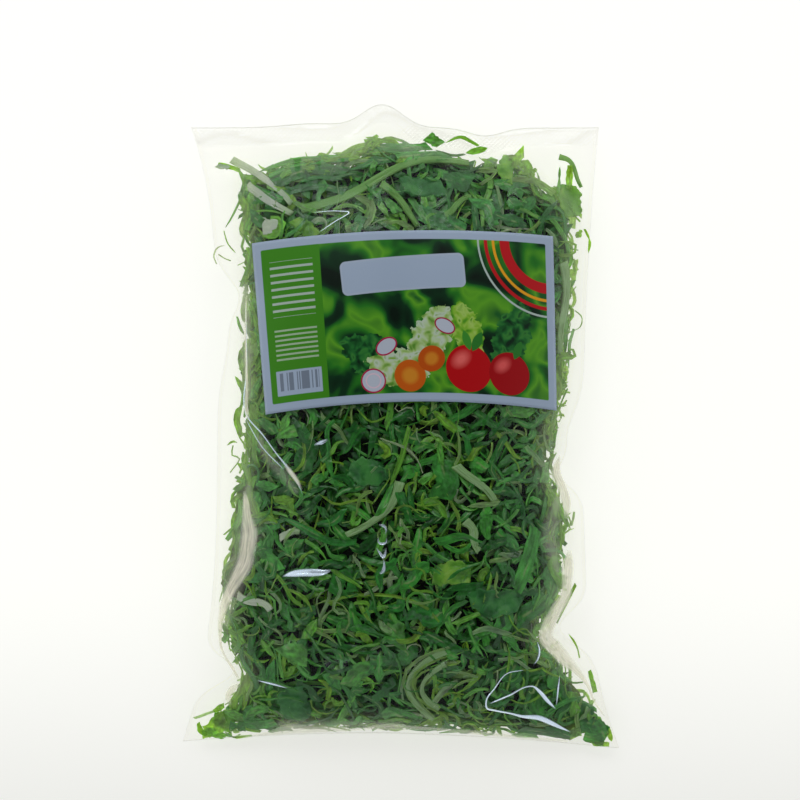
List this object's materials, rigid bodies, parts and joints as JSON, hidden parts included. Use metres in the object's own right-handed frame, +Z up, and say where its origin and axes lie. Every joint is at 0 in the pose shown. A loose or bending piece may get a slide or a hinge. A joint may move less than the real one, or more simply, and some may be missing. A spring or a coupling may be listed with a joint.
{
  "type": "bag of shredded chicory leaves",
  "caption": "Sealed pillow bag of clear film, filled with shredded chicory leaves, with a printed label on its front, lying on its back.",
  "frame": {"origin": "on the surface that the bag lies on, under the middle of the bag's outline", "axes": "+Y from the bottom fold to the top seal, +X to the right as the label is read, +Z up through the front film, away from the surface"},
  "size_m": [0.22, 0.3236, 0.0532],
  "materials": {
    "clear_film": "gloss",
    "label_print": "satin",
    "green_shreds": "satin",
    "pale_rib": "satin",
    "pale_leaf": "satin",
    "deep_leaf": "satin"
  },
  "bodies": {
    "root": {"film_bag": "clear_film", "label": "label_print", "shredded_leaves": "green_shreds", "rib_strip_01": "pale_rib", "rib_strip_02": "pale_rib", "rib_strip_03": "pale_rib", "rib_strip_04": "pale_rib", "rib_strip_05": "pale_rib", "rib_strip_06": "pale_rib", "rib_strip_07": "pale_rib", "rib_strip_08": "pale_rib", "rib_strip_09": "pale_rib", "rib_strip_10": "pale_rib", "rib_strip_11": "pale_rib", "rib_strip_12": "pale_rib", "rib_strip_13": "pale_rib", "rib_strip_14": "pale_rib", "rib_strip_15": "pale_rib", "rib_strip_16": "pale_rib", "leaf_piece_01": "pale_leaf", "leaf_piece_02": "pale_leaf", "leaf_piece_03": "pale_leaf", "leaf_piece_04": "deep_leaf", "leaf_piece_05": "deep_leaf", "leaf_piece_06": "pale_leaf", "leaf_piece_07": "pale_leaf", "leaf_piece_08": "deep_leaf", "leaf_piece_09": "deep_leaf", "leaf_piece_10": "deep_leaf"}
  },
  "joints": []
}
